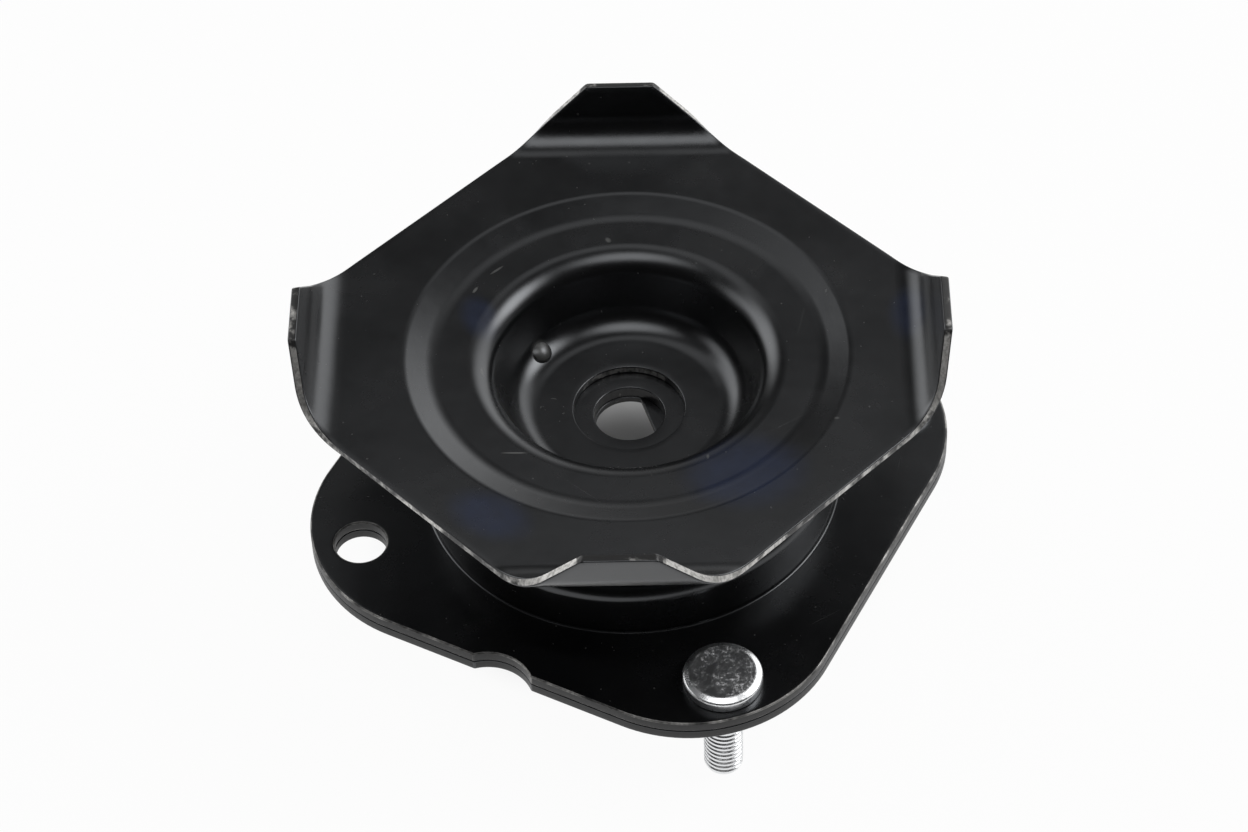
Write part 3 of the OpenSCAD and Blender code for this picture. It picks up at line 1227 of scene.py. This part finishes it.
@dataclass
class Studs:
    """The three pressed studs with their heads and threads."""

    name: str = "thread_studs"
    nodes: tuple[str, ...] = ("studs",)
    edge_round: float = 0.08
    bolt_ring: float = 58.5
    angles: Triple = (18.0, 108.0, 288.0)
    head_r: float = 8.0
    head_low: float = 4.8
    head_top: float = 7.8
    head_flat_r: float = 6.3
    shoulder_degrees: float = 26.0
    shoulder_r: float = 1.2
    shoulder_slope: float = 0.869
    head_edge_r: float = 0.7
    head_break: float = 0.25
    neck_r: float = 4.6
    neck_end: float = 0.3
    shank_start: float = -0.4
    crest_r: float = 3.98
    root_r: float = 3.55
    core_break: tuple[float, float] = (0.25, 0.2)
    thread_start: float = -0.1
    thread_room: float = 0.05
    pitch: float = 1.25
    flanks: tuple[float, ...] = (0.06, 0.30, 0.92, 1.19)
    turn_parts: int = 40
    round_parts: int = 72
    tip: float = -21.5
    chamfer: float = 0.9

    def build(self) -> bpy.types.Object:
        """Draws one stud at each place.

        Returns:
            The piece.
        """
        mesh = bmesh.new()
        for angle in self.angles:
            spot = bearing(angle) * self.bolt_ring
            for part in (self.head(), self.thread()):
                bmesh.ops.translate(part, verts=part.verts[:], vec=spot)
                data = baked("stud part", part)
                mesh.from_mesh(data)
                bpy.data.meshes.remove(data)
        piece = finished(self.name, mesh, self.nodes)
        soften(piece, self.edge_round)
        return piece

    def head(self) -> Mesh:
        """Draws the head, the neck and the core of the shank.

        Returns:
            The mesh, about the Z axis.
        """
        mesh = bmesh.new()
        pen = Pen(mesh, UP * self.head_top, OUTWARDS, ACROSS)
        pen.forward(self.head_flat_r, 3)
        pen.turn(self.shoulder_degrees, self.shoulder_r, 5.0)
        pen.forward(self.shoulder_slope)
        pen.turn(90.0 - self.shoulder_degrees, self.head_edge_r, 8.0)
        inset, rise = self.core_break
        pen.through(
            (
                (self.head_r, self.head_low + self.head_break),
                (self.head_r - self.head_break, self.head_low),
                (self.neck_r, self.head_low),
                (self.neck_r, self.neck_end),
                (self.root_r, self.shank_start),
                (self.root_r, self.tip + rise),
                (self.root_r - inset, self.tip),
                (0.0, self.tip),
            )
        )
        revolve(mesh, self.round_parts)
        bmesh.ops.recalc_face_normals(mesh, faces=mesh.faces[:])
        return mesh

    def thread(self) -> Mesh:
        """Draws one run of the thread along the shank.

        Returns:
            The mesh, about the Z axis.
        """
        mesh = bmesh.new()
        turns = math.ceil(-self.tip / self.pitch) + 2
        top = self.pitch
        radii = (self.root_r, self.crest_r, self.crest_r, self.root_r, self.root_r)
        levels = [top - drop for drop in (*self.flanks, self.pitch)]
        pen = Pen(mesh, Vector((self.root_r, 0.0, top)), -UP, ACROSS)
        pen.through(zip(radii, levels))
        bmesh.ops.spin(
            mesh,
            geom=everything(mesh),
            cent=(0, 0, 0),
            axis=UP,
            angle=math.tau * turns,
            steps=self.turn_parts * turns,
            dvec=(0.0, 0.0, -self.pitch / self.turn_parts),
        )
        bmesh.ops.remove_doubles(mesh, verts=mesh.verts[:], dist=2e-3)
        cut_off(mesh, UP * self.thread_start, UP)
        cut_off(mesh, UP * (self.tip + self.thread_room), -UP)
        for vert in mesh.verts:
            room = self.crest_r - max(0.0, self.tip + self.chamfer - vert.co.z)
            across = vert.co.xy.length
            if across > room:
                shrink = (room / across, room / across, 1.0)
                bmesh.ops.scale(mesh, verts=[vert], vec=shrink)
        bmesh.ops.recalc_face_normals(mesh, faces=mesh.faces[:])
        return mesh

    def dress(self, piece: bpy.types.Object, finishes: Finishes) -> None:
        """Plates the studs."""
        piece.data.materials.append(finishes.zinc)


@dataclass
class RubberBush:
    """The CAD rubber, which only needs its finish."""

    node: str = "rubber_bush"

    def dress(self, piece: bpy.types.Object, finishes: Finishes) -> None:
        """Gives the node its rubber.

        Args:
            piece: the CAD node.
            finishes: the shared materials.
        """
        for place in piece.material_slots:
            place.material = finishes.rubber


@dataclass(frozen=True)
class Softbox:
    """A lit cloth that faces the object, bright in the middle, dark at the border."""

    name: str
    azimuth: float
    elevation: float
    distance: float
    width: float
    height: float
    radiance: float
    core: float = 0.25

    def build(self) -> None:
        """Hangs the softbox; azimuth 0 is at +X and 90 at +Y."""
        light = bpy.data.lights.new(self.name, "AREA")
        light.shape = "RECTANGLE"
        light.size = self.width
        light.size_y = self.height
        light.energy = self.radiance * math.pi * self.width * self.height
        light.use_nodes = True
        self.fade(NodeSheet(light.node_tree))
        lift = math.radians(self.elevation)
        way = bearing(self.azimuth) * math.cos(lift) + UP * math.sin(lift)
        lamp = shown(self.name, light)
        lamp.location = way * self.distance
        lamp.rotation_euler = (-way).to_track_quat("-Z", "Y").to_euler()
        lamp.visible_camera = False

    def fade(self, sheet: NodeSheet) -> None:
        """Lets the cloth grow dark from its core to its border.

        Args:
            sheet: the lamp's node sheet.
        """
        cloth = sheet.node("ShaderNodeNewGeometry", out="Parametric")
        beside = sheet.vector("SUBTRACT", cloth, (0.5, 0.5, 0.0))
        spread = sheet.vector("MULTIPLY", beside, (2.0, 2.0, 0.0))
        away = sheet.vector("LENGTH", spread, out="Value")
        colour = sheet.mix(sheet.span(away, 1.0, self.core), BLACK, WHITE)
        glow = sheet.node("ShaderNodeEmission", None, {"Color": colour}, "Emission")
        sheet.node("ShaderNodeOutputLight", None, {"Surface": glow})


@dataclass
class Studio:
    """The floor, the light and the camera; the floor's painted shade is in
    millimetres.
    """

    floor_z: float = -0.0215
    floor_half: float = 4.0
    floor_colour: Colour = (0.60, 0.60, 0.60)
    floor_glow: float = 0.96
    # darker floor colour painted under the part as shade
    floor_painted_shade: Colour = (0.34, 0.34, 0.34)
    shade_middle: Triple = (0.0, 14.0, -21.5)
    shade_half: Triple = (60.0, 58.0, 10.0)
    air: Colour = (0.03, 0.03, 0.03)
    lens: float = 109.216
    sensor: float = 36.0
    eye: Triple = (0.01308, -0.52121, 0.59662)
    right: Triple = (0.99970, 0.00012, -0.02459)
    top: Triple = (0.01643, 0.74074, 0.67160)
    boxes: tuple[Softbox, ...] = (
        Softbox("right softbox", 8.0, 40.0, 1.3, 1.15, 1.2, 6.4),
        Softbox("back right softbox", 54.0, 23.0, 1.3, 1.75, 1.6, 2.0),
        Softbox("back top softbox", 106.0, 64.0, 1.3, 1.7, 0.8, 0.85),
        Softbox("back left softbox", 146.0, 27.0, 1.3, 1.4, 1.6, 2.6),
        Softbox("left softbox", 178.0, 28.0, 1.3, 0.95, 0.95, 1.5),
        Softbox("front overhead softbox", 265.0, 73.0, 1.3, 1.6, 1.05, 2.8),
        Softbox("low back softbox", 86.0, 21.0, 1.3, 1.3, 1.2, 0.42),
    )

    def build(self) -> None:
        """Sets up the whole studio."""
        self.floor()
        self.world()
        for box in self.boxes:
            box.build()
        self.camera()
        bpy.context.scene.view_settings.view_transform = "Standard"

    def floor(self) -> None:
        """Lays a pale floor that shows white round the part, keeps its shadow and has
        painted shade under the part.
        """
        mesh = bmesh.new()
        bmesh.ops.create_grid(
            mesh,
            x_segments=1,
            y_segments=1,
            size=self.floor_half,
            matrix=Matrix.Translation(UP * self.floor_z),
        )
        floor = shown("floor", baked("floor", mesh))
        made, sheet = new_material("pale floor")
        # painted shade: under the part the floor's colour is darker and its white glow
        # is withheld
        shaded = sheet.spot(sheet.place(), self.shade_middle, self.shade_half)
        colour = sheet.mix(shaded, self.floor_colour, self.floor_painted_shade)
        plain = sheet.node("ShaderNodeBsdfDiffuse", None, {"Color": colour}, "BSDF")
        glow = {"Color": opaque(WHITE), "Strength": 1.0}
        white = sheet.node("ShaderNodeEmission", None, glow, "Emission")
        share = sheet.seen(glossy=True) * (1.0 - shaded) * self.floor_glow
        layers = {0: share, 1: plain, 2: white}
        surface = sheet.node("ShaderNodeMixShader", None, layers, "Shader")
        sheet.node("ShaderNodeOutputMaterial", None, {"Surface": surface})
        floor.data.materials.append(made)

    def world(self) -> None:
        """Fills the air with even light; past the floor, the camera sees it white."""
        world = bpy.data.worlds.new("studio air")
        world.use_nodes = True
        bpy.context.scene.world = world
        sheet = NodeSheet(world.node_tree)
        shade = sheet.mix(sheet.seen(glossy=False), self.air, WHITE)
        glow = {"Color": shade, "Strength": 1.0}
        surface = sheet.node("ShaderNodeBackground", None, glow, "Background")
        sheet.node("ShaderNodeOutputWorld", None, {"Surface": surface})

    def camera(self) -> None:
        """Places the camera that was fitted to the photograph."""
        data = bpy.data.cameras.new("camera")
        data.sensor_fit = "HORIZONTAL"
        data.sensor_width = self.sensor
        data.lens = self.lens
        data.clip_start = 0.05
        data.clip_end = 50.0
        right, top = Vector(self.right), Vector(self.top)
        turn = Matrix((right, top, right.cross(top))).transposed().to_4x4()
        camera = shown("camera", data)
        camera.matrix_world = Matrix.Translation(self.eye) @ turn
        bpy.context.scene.camera = camera


def report(piece: bpy.types.Object) -> None:
    """Logs a piece and its faces before its modifiers."""
    LOG.info("%s: %d drawn faces", piece.name, len(piece.data.polygons))


def main() -> None:
    """Builds the scene piece by piece."""
    logging.basicConfig(level=logging.INFO, format="%(message)s")
    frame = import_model()
    finishes = Finishes.mixed()
    seat = SpringSeat()
    plates = (DrumPlate(), BodyPlate())
    sheets: tuple[Sheet, ...] = (seat, InnerCup(), KeyedPlate(), *plates)
    for sheet in sheets:
        piece = sheet.build()
        sheet.dress(piece, finishes)
        report(piece)
    report(seat.pip(finishes))
    studs = Studs()
    piece = studs.build()
    studs.dress(piece, finishes)
    report(piece)
    bush = RubberBush()
    piece = frame["nodes"][bush.node]
    bush.dress(piece, finishes)
    report(piece)
    Studio().build()


if __name__ == "__main__":
    main()
